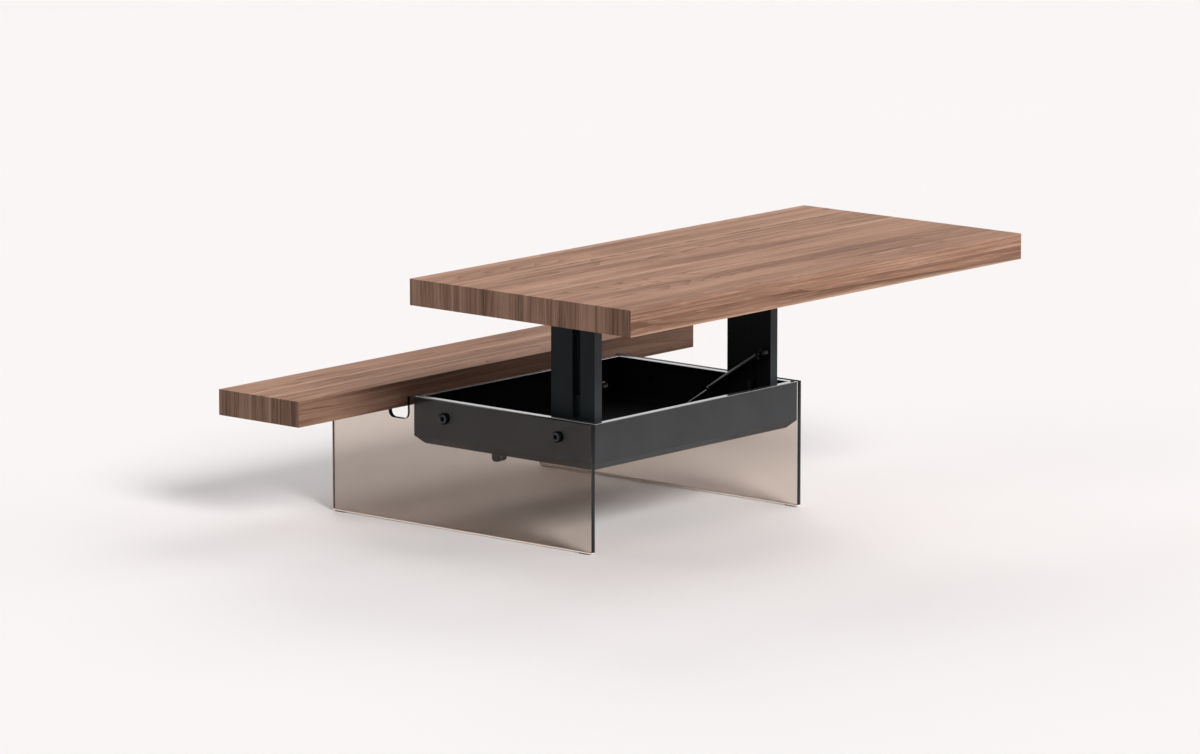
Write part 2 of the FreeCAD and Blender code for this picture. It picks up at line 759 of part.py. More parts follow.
def rear_arm(label, side):
    length = "arm_length + 2 * arm_end"
    near = "arm_plane - rear_arm_width / 2"
    foot_top = "glass_top - rear_foot_hide - (rear_low_pivot - arm_end)"
    foot_depth = "rear_arm_depth - rear_foot_cut"
    blank = padded("rear_arm_blank_" + label, "YZ_Plane", [
        ("0", "0"), (foot_depth, "0"), (foot_depth, foot_top + " - rear_foot_slope"),
        ("rear_arm_depth", foot_top), ("rear_arm_depth", length), ("0", length)],
        "rear_arm_width")
    rounded(blank, "rear_arm_ends_" + label, "rear_arm_round", along(X_AXIS))
    place(blank, mirrored(side, near, "rear_arm_width"), "rear_pivot - rear_pivot_inset",
          "rear_low_pivot - arm_end")
    shield_depth = "arm_gap - shield_gap + cover_overlap"
    shield_height = "low_pivot + cover_start + cover_round - glass_top"
    shield = padded("rear_arm_shield_" + label, "YZ_Plane", [
        ("0", "0"), (shield_depth, "0"), (shield_depth, shield_height), ("0", shield_height)],
        "shield_thickness")
    rounded(shield, "rear_arm_shield_round_" + label, "shield_round", lambda start, end: (
        along(X_AXIS)(start, end) and start.y < 1.0))
    place(shield, mirrored(side, near, "shield_thickness"),
          "rear_pivot - rear_pivot_inset - arm_gap + shield_gap", "glass_top")
    seats = bush_seats("rear", label, "rear_arm_width", side, near, "rear_pivot",
                       "rear_low_pivot")
    barred = joined("rear_arm_shielded_" + label, [blank, shield])
    finished(cut("rear_arm_cut_" + label, barred, seats), "rear_arm_" + label)
    arm_bushes(label, "rear", "rear_arm_width", (near,), side, "rear_pivot", "rear_low_pivot")


# Brackets under the lifting board, with the pins of the upper pivots

def bracket_screw_places(side):
    """Where four screws hold a bracket: one on each wing, at both ends."""
    wings = ("inner_ear - bracket_wing / 2", "outer_ear + ear_thickness + bracket_wing / 2")
    return [("%d * (%s)" % (side, near), y) for near in wings for y in FOOT_PLACES]


def lift_top():
    holes, screws = [], []
    high = " + arm_length"
    for label, side in SIDES.items():
        length = "rear_pivot - front_pivot + 2 * ear_margin"
        depth = "pivot_cover + rear_pivot_drop + ear_margin"
        ears = []
        for which, near in EARS.items():
            tag = "%s_%s" % (which, label)
            ear = padded("bracket_ear_" + tag, "YZ_Plane", [
                ("0", "rear_pivot_drop"), ("2 * ear_margin", "0"), (length, "0"),
                (length, depth), ("0", depth)], "ear_thickness")
            rounded(ear, "bracket_ear_round_" + tag, "ear_margin / 2", lambda start, end: (
                along(X_AXIS)(start, end) and start.z < sheet_value(depth) - 1.0))
            place(ear, mirrored(side, near, "ear_thickness"), "front_pivot - ear_margin",
                  "lift_under - (%s)" % depth)
            ears.append(cut("bracket_ear_cut_" + tag, ear,
                            pin_holes("bracket_" + tag, side, near, high)))
        width = "outer_ear - inner_ear + ear_thickness + 2 * bracket_wing"
        plate = box("bracket_plate_" + label, width, length, "bracket_plate",
                    mirrored(side, "inner_ear - bracket_wing", width),
                    "front_pivot - ear_margin", "lift_under - bracket_plate")
        plate_holes = []
        for number, (x, y) in enumerate(bracket_screw_places(side)):
            tag = "%s_%d" % (label, number)
            plate_holes.append(rod("bracket_hole_" + tag, "screw_radius + running_fit",
                                   "bracket_plate", x, y, "lift_under - bracket_plate"))
            holes.append(rod("lift_board_hole_" + tag, "screw_radius + running_fit",
                             "screw_bite", x, y, "lift_under"))
            screws.append(screw("bracket_screw_" + tag, x, y, "lift_under - bracket_plate",
                                "bracket_plate + screw_bite"))
        drilled = cut("bracket_plate_cut_" + label, plate, plate_holes)
        finished(joined("bracket_" + label, [drilled] + ears), "lift_bracket_" + label)
    mitred_top("lift_top", "lift_front", "lift_width", "lift_bottom", holes)
    finished(group("bracket_screw_set", screws), "lift_bracket_screws")


# Gas struts: barrel on the front arm's stud, rod on an anchor under the tray floor

def placed_strut(item, x):
    """Turn a piece drawn along Z from the strut's upper eye down the strut's own line."""
    place(item, x, "stud_place", "stud_level", Rotation(-X_AXIS, 90))
    item.setExpression("Placement.Rotation.Angle", formula("90 deg + strut_slope"))
    return item


def strut_pieces(label, side):
    middle = "%d * strut_plane" % side
    stud_near = "strut_plane + strut_eye_width / 2 + side_clearance"
    stud_length = "front_arm_inner - (%s)" % stud_near
    stud = joined("stud_blank_" + label, [
        cross_rod("stud_face_" + label, "stud_radius", stud_length, side, stud_near,
                  "stud_place", "stud_level"),
        cross_rod("stud_tail_" + label, "stud_radius / 2", "front_arm_wall", side,
                  "front_arm_inner", "stud_place", "stud_level")])
    finished(stud, "strut_stud_" + label)

    eye = rod("barrel_eye_" + label, "strut_eye_radius", "strut_eye_width",
              "-strut_eye_width / 2", 0, 0, ALONG_X)
    boss_x = "-strut_eye_width / 2 - strut_boss_height" if side > 0 else "strut_eye_width / 2"
    boss = rod("barrel_boss_" + label, "strut_boss_radius", "strut_boss_height", boss_x, 0, 0,
               ALONG_X)
    neck = rod("barrel_neck_" + label, "strut_neck_radius", "strut_neck", 0, 0, 0)
    fitting = joined("fitting_" + label, [eye, boss, neck])
    finished(placed_strut(fitting, middle), "strut_fitting_" + label)

    tube = rod("barrel_tube_" + label, "barrel_radius", "barrel_length", 0, 0, "strut_neck")
    bore = rod("barrel_bore_" + label, "rod_radius + running_fit",
               "barrel_length - barrel_bottom", 0, 0, "strut_neck + barrel_bottom")
    barrel = cut("barrel_" + label, tube, [bore])
    finished(placed_strut(barrel, middle), "strut_barrel_" + label)

    start = "barrel_end - rod_in_barrel"
    shaft = rod("rod_shaft_" + label, "rod_radius", "strut_length - (%s)" % start, 0, 0, start)
    rod_eye = rod("rod_eye_" + label, "rod_eye_radius", "rod_eye_width", "-rod_eye_width / 2",
                  0, "strut_length", ALONG_X)
    hole = rod("rod_eye_hole_" + label, "anchor_pin_radius + running_fit", "rod_eye_width",
               "-rod_eye_width / 2", 0, "strut_length", ALONG_X)
    shaft_and_eye = cut("rod_" + label, joined("rod_blank_" + label, [shaft, rod_eye]), [hole])
    finished(placed_strut(shaft_and_eye, middle), "strut_rod_" + label)


def strut_anchors():
    pins_made = []
    for label, side in SIDES.items():
        height = "tray_bottom - anchor_base"
        start = "anchor_place - anchor_length / 2"
        blank = padded("anchor_" + label, "YZ_Plane", [
            ("0", "0"), ("anchor_length", "0"), ("anchor_length", height), ("0", height)],
            "anchor_width")
        rounded(blank, "anchor_round_" + label, "anchor_round", lambda start_point, end_point: (
            along(X_AXIS)(start_point, end_point) and start_point.z < 1.0))
        near = "strut_plane - anchor_width / 2"
        place(blank, mirrored(side, near, "anchor_width"), start, "anchor_base")
        inner_width = "anchor_width - 2 * anchor_sheet"
        hollow = box("anchor_hollow_" + label, inner_width, "anchor_length", height,
                     mirrored(side, near + " + anchor_sheet", inner_width), start,
                     "anchor_base + anchor_sheet")
        channel = cut("anchor_channel_" + label, blank, [hollow])
        flanges = [
            box("anchor_%s_flange_%s" % (which, label), "anchor_flange", "anchor_length",
                "anchor_sheet", mirrored(side, edge, "anchor_flange"), start,
                "tray_bottom - anchor_sheet")
            for which, edge in (("inner", near + " - anchor_flange"),
                                ("outer", near + " + anchor_width"))
        ]
        hole = cross_rod("anchor_hole_" + label, "anchor_pin_radius + running_fit",
                         "anchor_width", side, near, "anchor_place", "anchor_level")
        folded = joined("anchor_folded_" + label, [channel] + flanges)
        finished(cut("anchor_cut_" + label, folded, [hole]), "strut_anchor_" + label)
        pins_made.append(cross_rod("anchor_pin_" + label, "anchor_pin_radius",
                                   "anchor_width", side, near, "anchor_place", "anchor_level"))
    finished(group("anchor_pin_set", pins_made), "strut_anchor_pins")


def build():
    for label, side in SIDES.items():
        glass_panel(label, side)
    glass_hardware()
    fixed_top()
    tray()
    bumpers()
    pivot_plates()
    pins("lower_pivot_pins", "low", "")
    for label, side in SIDES.items():
        front_arm(label, side)
        rear_arm(label, side)
        strut_pieces(label, side)
    strut_anchors()
    lift_top()
    pins("upper_pivot_pins", "high", " + arm_length")


def check_and_write():
    doc.recompute()
    failed = [item.Name for item in doc.Objects
              if "Invalid" in item.State or "Error" in item.State]
    assert not failed, "failed objects: %s" % failed
    for item in sub_parts:
        assert not item.Shape.isNull() and item.Shape.isValid(), item.Label + " is not sound"
        assert item.Shape.Solids, item.Label + " has no solid"
    os.makedirs("parts", exist_ok=True)
    for item in sub_parts:
        item.Shape.exportStep(os.path.join("parts", item.Label + ".step"))


build()
check_and_write()
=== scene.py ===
import math

import bmesh
import bpy
from mathutils import Matrix, Vector


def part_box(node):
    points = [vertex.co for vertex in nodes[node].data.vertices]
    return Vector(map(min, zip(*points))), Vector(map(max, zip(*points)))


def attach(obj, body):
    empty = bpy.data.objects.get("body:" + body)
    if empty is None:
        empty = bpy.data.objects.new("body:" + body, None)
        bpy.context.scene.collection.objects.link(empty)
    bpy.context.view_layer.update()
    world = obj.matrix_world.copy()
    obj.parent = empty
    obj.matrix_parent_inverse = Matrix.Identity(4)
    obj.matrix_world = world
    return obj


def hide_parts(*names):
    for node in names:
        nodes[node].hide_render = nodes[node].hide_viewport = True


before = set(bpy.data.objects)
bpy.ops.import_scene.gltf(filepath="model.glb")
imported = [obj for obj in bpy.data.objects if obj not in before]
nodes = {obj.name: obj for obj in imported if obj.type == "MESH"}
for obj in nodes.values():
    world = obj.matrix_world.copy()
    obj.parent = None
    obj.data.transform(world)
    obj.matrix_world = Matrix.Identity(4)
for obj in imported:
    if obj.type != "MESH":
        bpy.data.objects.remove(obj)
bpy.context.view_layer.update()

scene = bpy.context.scene

SIDES = {"left": -1, "right": 1}
MM = 0.001


# Node trees

NOISE_ROUGHNESS = 0.55
# The range that most of a noise lies in, and the places of two tones on it
NOISE_LOW = 0.2
NOISE_HIGH = 0.8
TONE_LOW = 0.3
TONE_HIGH = 0.7
# The colour sockets of a mix node
MIX_FIRST = 6
MIX_SECOND = 7
MIX_RESULT = 2


class Tree:
    """A material with a principled shader and short calls for the nodes that feed it."""

    def __init__(self, name, **shader_values):
        self.material = bpy.data.materials.new(name)
        self.material.use_nodes = True
        self.tree = self.material.node_tree
        self.shader = self.tree.nodes["Principled BSDF"]
        for socket, value in shader_values.items():
            self.shader.inputs[socket.replace("_", " ")].default_value = value

    def node(self, kind, **settings):
        made = self.tree.nodes.new("ShaderNode" + kind)
        for name, value in settings.items():
            setattr(made, name, value)
        return made

    def link(self, source, target):
        if isinstance(source, (int, float, tuple)):
            target.default_value = source
        else:
            self.tree.links.new(source, target)

    def math(self, operation, first, second=0.0):
        made = self.node("Math", operation=operation)
        self.link(first, made.inputs[0])
        self.link(second, made.inputs[1])
        return made.outputs[0]

    def plus(self, first, second):
        return self.math("ADD", first, second)

    def times(self, first, second):
        return self.math("MULTIPLY", first, second)

    def coordinate(self, kind):
        parts = self.node("SeparateXYZ")
        self.link(self.node("TexCoord").outputs[kind], parts.inputs[0])
        return parts.outputs

    def position(self):
        """The place on the object at rest, in metres, as three separate values."""
        return self.coordinate("Object")

    def facing(self):
        """The way that the surface faces on the object at rest, as three separate values."""
        return self.coordinate("Normal")

    def vector(self, x, y, z):
        made = self.node("CombineXYZ")
        for source, target in zip((x, y, z), made.inputs):
            self.link(source, target)
        return made.outputs[0]

    def noise(self, vector, scale, detail):
        made = self.node("TexNoise")
        self.link(vector, made.inputs["Vector"])
        made.inputs["Scale"].default_value = scale
        made.inputs["Detail"].default_value = detail
        made.inputs["Roughness"].default_value = NOISE_ROUGHNESS
        return made.outputs["Fac"]

    def lines(self, scales, detail):
        """A noise with a scale of its own along each axis, so that it is drawn out into lines."""
        drawn = [self.times(part, scale) for part, scale in zip(self.position(), scales)]
        return self.noise(self.vector(*drawn), scale=1.0, detail=detail)

    def ramp(self, value, stops):
        """Colours at places from 0 to 1."""
        made = self.node("ValToRGB")
        elements = made.color_ramp.elements
        while len(elements) < len(stops):
            elements.new(1.0)
        for element, (place, colour) in zip(elements, stops):
            element.position = place
            element.color = (*colour, 1.0)
        self.link(value, made.inputs["Fac"])
        return made.outputs["Color"]

    def tones(self, noise, first, second, low=TONE_LOW, high=TONE_HIGH):
        """Two tones that a noise mixes."""
        return self.ramp(noise, [(low, first), (high, second)])

    def span(self, value, low, high, to_low=0.0, to_high=1.0):
        made = self.node("MapRange")
        for source, target in zip((value, low, high, to_low, to_high), made.inputs):
            self.link(source, target)
        return made.outputs[0]

    def spread(self, noise, low, high):
        """A noise, taken to the range between two values."""
        return self.span(noise, NOISE_LOW, NOISE_HIGH, low, high)

    def mix(self, factor, first, second, blend="MIX"):
        made = self.node("Mix", data_type="RGBA", blend_type=blend)
        self.link(factor, made.inputs["Factor"])
        self.link(first, made.inputs[MIX_FIRST])
        self.link(second, made.inputs[MIX_SECOND])
        return made.outputs[MIX_RESULT]

    def bump(self, height, strength, distance):
        made = self.node("Bump")
        made.inputs["Strength"].default_value = strength
        made.inputs["Distance"].default_value = distance
        self.link(height, made.inputs["Height"])
        self.link(made.outputs[0], self.shader.inputs["Normal"])

    def colour(self, source):
        self.link(source, self.shader.inputs["Base Color"])

    def roughness(self, source):
        self.link(source, self.shader.inputs["Roughness"])

    def metal(self, source):
        self.link(source, self.shader.inputs["Metallic"])


def toned(colour, factor):
    return tuple(value * factor for value in colour)


# Walnut veneer: one sheet over each board and down its edges, so the figure goes on round the corners

WALNUT_DARK = (0.150, 0.072, 0.045)
WALNUT_MID = (0.345, 0.185, 0.122)
WALNUT_LIGHT = (0.520, 0.310, 0.215)
WALNUT_PALE = (0.640, 0.430, 0.310, 1.0)
PORE = (0.085, 0.042, 0.027, 1.0)
VENEER_GLOSS = 0.22
VENEER_ROUGHNESS = (0.60, 0.74)
# The veneer's leaves: their width in metres, and how far the figure moves on from one to the next
LEAF_WIDTH = 0.109
LEAF_SHIFT = 9.0
# How far the grain wanders sideways, in metres
WANDER = 0.014
# Growth rings: how many the figure goes through, how sharply each one ends, and how dark its late wood is
RINGS = 30.0
RING_SHARPNESS = 3.0
LATE_WOOD = 0.13
# How far from the middle tone the mixed figure goes to the darkest and the lightest one
TONE_REACH = 0.24
# Layers of the figure: scale along the grain, scale across it, and detail
LAYERS = {
    "wander": (2.2, 6.0, 2.0),
    "board_rings": (0.75, 7.0, 1.0),
    "long_rings": (0.22, 7.0, 1.0),
    "end_rings": (0.2, 7.0, 1.0),
    "fine": (5.0, 420.0, 3.0),
    "streaks": (1.7, 110.0, 3.0),
    "bands": (1.0, 26.0, 2.0),
    "clouds": (1.5, 9.0, 1.0),
    "pale": (0.25, 80.0, 0.0),
    "flecks": (9.0, 380.0, 2.0),
    "pores": (40.0, 1500.0, 2.0),
}
# How much fine lines, streaks, bands, clouds and each leaf's own tone count on a face
FIGURE_SHARES = {
    "board": (0.34, 0.22, 0.36, 0.38, 0.06),
    "long": (0.28, 0.34, 0.38, 0.30, 0.08),
    "end": (0.28, 0.18, 0.46, 0.42, 0.06),
}
# Where pale streaks and small marks begin on their layers and where they are full, and how strong they are
PALE_RANGE = (0.69, 0.76)
MARK_RANGE = (0.58, 0.70)
PALE_SHARE = 0.55
FLECK_SHARE = 0.40
PORE_SHARE = 0.40
FINE_DEPTH = 0.35


def walnut(name, face, top_height, contrast, shade):
    """The face is a board, a long edge or an end edge, and its top surface lies at the given height."""
    tree = Tree(name, Specular_IOR_Level=VENEER_GLOSS)
    x, y, z = tree.position()
    grain = tree.plus(x, top_height if face == "long" else z)
    straight = tree.plus(y, top_height if face == "end" else z)
    leaf = tree.node("TexWhiteNoise", noise_dimensions="1D")
    tree.link(tree.math("FLOOR", tree.math("DIVIDE", straight, LEAF_WIDTH)), leaf.inputs["W"])
    leaf_tone = leaf.outputs["Value"]
    shift = tree.times(leaf_tone, LEAF_SHIFT)

    def figure(layer, side):
        along, across, detail = LAYERS[layer]
        place = tree.vector(tree.times(grain, along), tree.times(side, across), shift)
        return tree.noise(place, scale=1.0, detail=detail)

    wandering = tree.plus(straight, tree.times(figure("wander", straight), WANDER))
    fine = figure("fine", wandering)
    streaks = figure("streaks", wandering)
    bands = figure("bands", wandering)
    clouds = figure("clouds", wandering)
    rings = tree.math("FRACT", tree.times(figure(face + "_rings", wandering), RINGS))
    mixed = tree.times(tree.math("POWER", rings, RING_SHARPNESS), -LATE_WOOD)
    shares = FIGURE_SHARES[face]
    for part, share in zip((fine, streaks, bands, clouds, leaf_tone), shares):
        mixed = tree.plus(mixed, tree.times(part, share))
    middle = sum(shares) / 2 - LATE_WOOD / 4
    reach = TONE_REACH / contrast
    level = tree.span(mixed, middle - reach, middle + reach)
    wood = tree.ramp(level, [(0.0, WALNUT_DARK), (0.5, WALNUT_MID), (1.0, WALNUT_LIGHT)])
    pale = tree.span(figure("pale", wandering), *PALE_RANGE)
    flecks = tree.span(figure("flecks", straight), *MARK_RANGE)
    pores = tree.span(figure("pores", straight), *MARK_RANGE)
    wood = tree.mix(tree.times(pale, PALE_SHARE), wood, WALNUT_PALE)
    wood = tree.mix(tree.times(flecks, FLECK_SHARE), wood, WALNUT_PALE)
    wood = tree.mix(tree.times(pores, PORE_SHARE), wood, PORE)
    # Painted shade: the face's whole colour is darkened by its shade factor
    tree.colour(tree.mix(1.0, wood, (shade, shade, shade, 1.0), "MULTIPLY"))
    tree.roughness(tree.spread(streaks, *VENEER_ROUGHNESS))
    depth = tree.math("SUBTRACT", tree.times(fine, FINE_DEPTH), pores)
    tree.bump(depth, strength=0.2, distance=0.0003)
    return tree.material


# Painted, plated and moulded pieces

# The share of a face's direction from which it counts as turned that way, and where that is full
FACING = 0.6
FACING_FULL = 0.8
PEBBLE_SCALE = 1400.0
CLOUD_SCALE = 9.0
CLOUD_CONTRAST = 0.12


def coat_colour(tree, place, colour):
    cloud = tree.noise(place, scale=CLOUD_SCALE, detail=3.0)
    return tree.tones(cloud, toned(colour, 1 - CLOUD_CONTRAST), toned(colour, 1 + CLOUD_CONTRAST))


def powder_coat(name, colour, roughness, specular, narrow_painted_light=None, inner=None):
    """A pebbled coat with a slight cloud in it, with a lighter copy on narrow faces as painted light and a
    darker copy on inner faces as painted shade.
    """
    tree = Tree(name, Specular_IOR_Level=specular)
    parts = tree.position()
    place = tree.vector(*parts)
    pebble = tree.noise(place, scale=PEBBLE_SCALE, detail=2.0)
    coat = coat_colour(tree, place, colour)
    # Painted light: the faces turned to front or back get a lighter copy of the coat
    if narrow_painted_light:
        ahead = tree.span(tree.math("ABSOLUTE", tree.facing()[1]), FACING, FACING_FULL)
        coat = tree.mix(ahead, coat, coat_colour(tree, place, narrow_painted_light))
    # Painted shade: the faces turned in towards the middle get a darker copy of the coat
    if inner:
        outward = tree.times(tree.facing()[0], tree.math("SIGN", parts[0]))
        inward = tree.math("LESS_THAN", outward, -FACING)
        coat = tree.mix(inward, coat, coat_colour(tree, place, inner))
    tree.colour(coat)
    tree.roughness(tree.spread(pebble, roughness - 0.06, roughness + 0.06))
    tree.bump(pebble, strength=0.12, distance=0.00015)
    return tree.material


# The tray's inner space and the height of its rim, in metres
TRAY_INSIDE = ((-0.3595, -0.2267, 0.1915), (0.3595, 0.3183, 0.2985))
TRAY_RIM = 0.2990
TRAY_GREY = (0.0262, 0.0284, 0.0303)
# Painted light: a lighter, bluer copy of the grey for the side faces, which offsets the bronze of the glass
# in front of them
SIDE_PAINTED_TINT = (0.0250, 0.0410, 0.0580)
# Painted shade: a darker copy of the grey for the bevelled folds that face down
FOLD_PAINTED_SHADE = (0.0175, 0.0192, 0.0208)
RIM_GREY = (0.56, 0.56, 0.57)
# Painted shade: near black for the tray's inside
INSIDE_PAINTED_SHADE = (0.003, 0.003, 0.0035, 1.0)
# How far down the bevelled folds face
FOLD_FACING = (-0.9, -0.4)
TRAY_ROUGHNESS = (0.36, 0.48)
INSIDE_ROUGHNESS = 0.95
RIM_POLISH = 0.28
# Painted shade: the inside is made mostly metal so that its near black shows no sheen
INSIDE_SHADE_METAL = 0.75
RIM_METAL = 0.9


def tray_coat():
    """Grey outside, with painted light on the sides, painted shade on the downward folds, near black
    painted shade inside, and a rim rubbed to a lighter satin.
    """
    tree = Tree("tray_coat", Specular_IOR_Level=0.3)
    parts = tree.position()
    place = tree.vector(*parts)
    pebble = tree.noise(place, scale=PEBBLE_SCALE, detail=2.0)
    sideward, _, downward = tree.facing()
    beside = tree.math("GREATER_THAN", tree.math("ABSOLUTE", sideward), FACING_FULL)
    fold = tree.times(tree.math("GREATER_THAN", downward, FOLD_FACING[0]),
                      tree.math("LESS_THAN", downward, FOLD_FACING[1]))
    rim = tree.math("GREATER_THAN", parts[2], TRAY_RIM)
    inside = tree.math("SUBTRACT", 1.0, fold)
    for value, low, high in zip(parts, *TRAY_INSIDE):
        inside = tree.times(inside, tree.math("GREATER_THAN", value, low))
        inside = tree.times(inside, tree.math("LESS_THAN", value, high))
    coat = coat_colour(tree, place, TRAY_GREY)
    # Painted light on the sides and painted shade on the downward folds, each a copy of the grey
    for share, colour in ((beside, SIDE_PAINTED_TINT), (fold, FOLD_PAINTED_SHADE), (rim, RIM_GREY)):
        coat = tree.mix(share, coat, coat_colour(tree, place, colour))
    # Painted shade: the tray's inside is near black
    tree.colour(tree.mix(inside, coat, INSIDE_PAINTED_SHADE))
    dull = tree.math("MAXIMUM", tree.spread(pebble, *TRAY_ROUGHNESS), tree.times(inside, INSIDE_ROUGHNESS))
    tree.roughness(tree.math("SUBTRACT", dull, tree.times(rim, RIM_POLISH)))
    tree.metal(tree.math("MAXIMUM", tree.times(rim, RIM_METAL), tree.times(inside, INSIDE_SHADE_METAL)))
    tree.bump(pebble, strength=0.05, distance=0.0001)
    return tree.material


def turned_metal(name, colour, roughness):
    """Plated steel with fine tool marks."""
    tree = Tree(name, Metallic=1.0)
    marks = tree.lines((2500.0, 300.0, 300.0), detail=3.0)
    tree.colour(tree.tones(marks, toned(colour, 0.8), colour, low=0.25, high=0.75))
    tree.roughness(tree.spread(marks, roughness - 0.08, roughness + 0.08))
    tree.bump(marks, strength=0.1, distance=0.00005)
    return tree.material


def moulded(name, colour, roughness):
    """Rubber or plastic with a fine mould texture."""
    tree = Tree(name, Specular_IOR_Level=0.3)
    place = tree.vector(*tree.position())
    grain = tree.noise(place, scale=2200.0, detail=2.0)
    cloud = tree.noise(place, scale=60.0, detail=2.0)
    tree.colour(tree.tones(cloud, colour, toned(colour, 1.3)))
    tree.roughness(tree.spread(grain, roughness - 0.1, roughness + 0.1))
    tree.bump(grain, strength=0.2, distance=0.0001)
    return tree.material


CLEAR = (1.0, 1.0, 1.0)
HAZY = (0.97, 0.97, 0.97)
GLASS_TINT = (0.500, 0.332, 0.194)
PAD_TINT = (0.8, 0.8, 0.8)


def clear_solid(name, tint, density, roughness):
    """Glass or clear plastic that is tinted through its thickness."""
    tree = Tree(name, Transmission_Weight=1.0, IOR=1.45, Specular_Tint=(0.4, 0.4, 0.4, 1.0))
    haze = tree.noise(tree.vector(*tree.position()), scale=14.0, detail=2.0)
    tree.colour(tree.tones(haze, HAZY, CLEAR))
    tree.roughness(tree.span(haze, TONE_LOW, TONE_HIGH, roughness, roughness + 0.01))
    absorb = tree.node("VolumeAbsorption")
    absorb.inputs["Color"].default_value = (*tint, 1.0)
    absorb.inputs["Density"].default_value = density
    tree.link(absorb.outputs[0], tree.tree.nodes["Material Output"].inputs["Volume"])
    return tree.material


def edge_light_and_shade(name, colour, roughness):
    """An opaque colour for the edge of a glass sheet, with faint lines along it; it carries painted light
    and painted shade in place of the light that passes through the glass.
    """
    tree = Tree(name, Specular_IOR_Level=0.15)
    lines = tree.lines((2600.0, 3.0, 3.0), detail=2.0)
    tree.colour(tree.tones(lines, colour, toned(colour, 1.15)))
    tree.roughness(tree.spread(lines, roughness, roughness + 0.1))
    return tree.material


ARM_BLACK = (0.0088, 0.0125, 0.0145)
# Painted light: a lighter grey for the front arm's narrow faces
ARM_PAINTED_LIGHT = (0.044, 0.0495, 0.055)
# Painted shade: near black for the arms' inner faces
ARM_PAINTED_SHADE = (0.0015, 0.0015, 0.0018)
PLATE_BLACK = (0.003, 0.003, 0.0034)
STRUT_BLACK = (0.003, 0.003, 0.003)
BOLT_BLACK = (0.0020, 0.0023, 0.0030)

materials = {
    "glass": clear_solid("bronze_glass", GLASS_TINT, density=60.0, roughness=0.0),
    "pad": clear_solid("clear_pad", PAD_TINT, density=10.0, roughness=0.15),
    "tray": tray_coat(),
    # Partly painted shade: an opaque dark grey on the glass edges, for the dark the tinted glass shows
    # along its length and for shade along its top
    "glass_edge": edge_light_and_shade("glass_edge", (0.0140, 0.0152, 0.0165), roughness=0.22),
    # Painted light: a pale line along the glass's foot, standing in for light coming through the glass
    "glass_foot": edge_light_and_shade("glass_foot", (0.90, 0.81, 0.74), roughness=0.30),
    "fitting": powder_coat("fitting_coat", TRAY_GREY, roughness=0.45, specular=0.3),
    "plate": powder_coat("plate_coat", PLATE_BLACK, roughness=0.50, specular=0.06),
    "front_arm": powder_coat("front_arm_coat", ARM_BLACK, roughness=0.50, specular=0.10,
                             narrow_painted_light=ARM_PAINTED_LIGHT, inner=ARM_PAINTED_SHADE),
    "arm": powder_coat("arm_coat", ARM_BLACK, roughness=0.50, specular=0.10, inner=ARM_PAINTED_SHADE),
    "strut": powder_coat("strut_coat", STRUT_BLACK, roughness=0.16, specular=0.22),
    "steel": turned_metal("plated_steel", (0.52, 0.52, 0.53), roughness=0.34),
    "bolt": powder_coat("black_bolt", BOLT_BLACK, roughness=0.30, specular=0.06),
    # Painted highlight: a lighter grey copy of the bolts' black finish for their lit domed face
    "bolt_highlight": turned_metal("bolt_highlight_grey", (0.062, 0.064, 0.070), roughness=0.32),
    "stud": turned_metal("dark_stud", (0.06, 0.06, 0.063), roughness=0.30),
    "rod": turned_metal("dark_rod", (0.24, 0.24, 0.25), roughness=0.22),
    "rubber": moulded("black_rubber", (0.012, 0.012, 0.012), roughness=0.62),
    "bush": moulded("bush_plastic", (0.020, 0.020, 0.020), roughness=0.5),
}

# The veneer's contrast on each face, and the painted shade on each face of the two tops: a factor on its
# colour, lowest where the least light reaches the face
VENEER_CONTRAST = {"board": 1.4, "long": 1.3, "end": 1.7}
VENEER_PAINTED_SHADE = {
    "lift": {"board": 0.88, "long": 0.84, "end": 0.43},
    "fixed": {"board": 0.88, "long": 0.56, "end": 0.375},
}
for top, shades in VENEER_PAINTED_SHADE.items():
    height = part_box(top + "_top_board")[1][2]
    for face, shade in shades.items():
        finish = top + "_" + face
        materials[finish] = walnut("walnut_" + finish, face, height, VENEER_CONTRAST[face], shade)

# The finish of a node by the start of its name. The first that fits counts, and all others are plated steel
FINISHES = {
    "lift_top_board": "lift_board",
    "lift_top_left": "lift_end",
    "lift_top_right": "lift_end",
    "lift_top": "lift_long",
    "fixed_top_board": "fixed_board",
    "fixed_top_left": "fixed_end",
    "fixed_top_right": "fixed_end",
    "fixed_top": "fixed_long",
    "glass_panel": "glass",
    "glass_foot_pads": "pad",
    "glass_gaskets": "rubber",
    "rim_bumpers": "rubber",
    "glass_hole_bushes": "bush",
    "front_arm_bushes": "bush",
    "rear_arm_bushes": "bush",
    "glass_bolts": "bolt",
    "tray_bolt_nuts": "bolt",
    "storage_tray": "tray",
    "strut_barrel": "strut",
    "strut_fitting": "strut",
    "strut_rod": "rod",
    "strut_stud": "stud",
    "strut_anchor_pins": "stud",
    "strut_anchor": "fitting",
    "front_arm": "front_arm",
    "rear_arm": "arm",
    "lift_bracket_left": "arm",
    "lift_bracket_right": "arm",
    "pivot_plate_inner": "plate",
    "pivot_plate_outer": "plate",
}


def finish_of(node):
    for start, finish in FINISHES.items():
        if node.startswith(start):
            return finish
    return "steel"


# Softened edges on the cut and folded pieces: the width in millimetres, and angles in degrees

SOFT_EDGES = {"tray": 0.9, "arm": 0.8, "front_arm": 0.8, "fitting": 0.8, "plate": 0.8, "strut": 0.6}
WELD_REACH = 1e-5
FLAT_ANGLE = 0.5
EDGE_ANGLE = 35


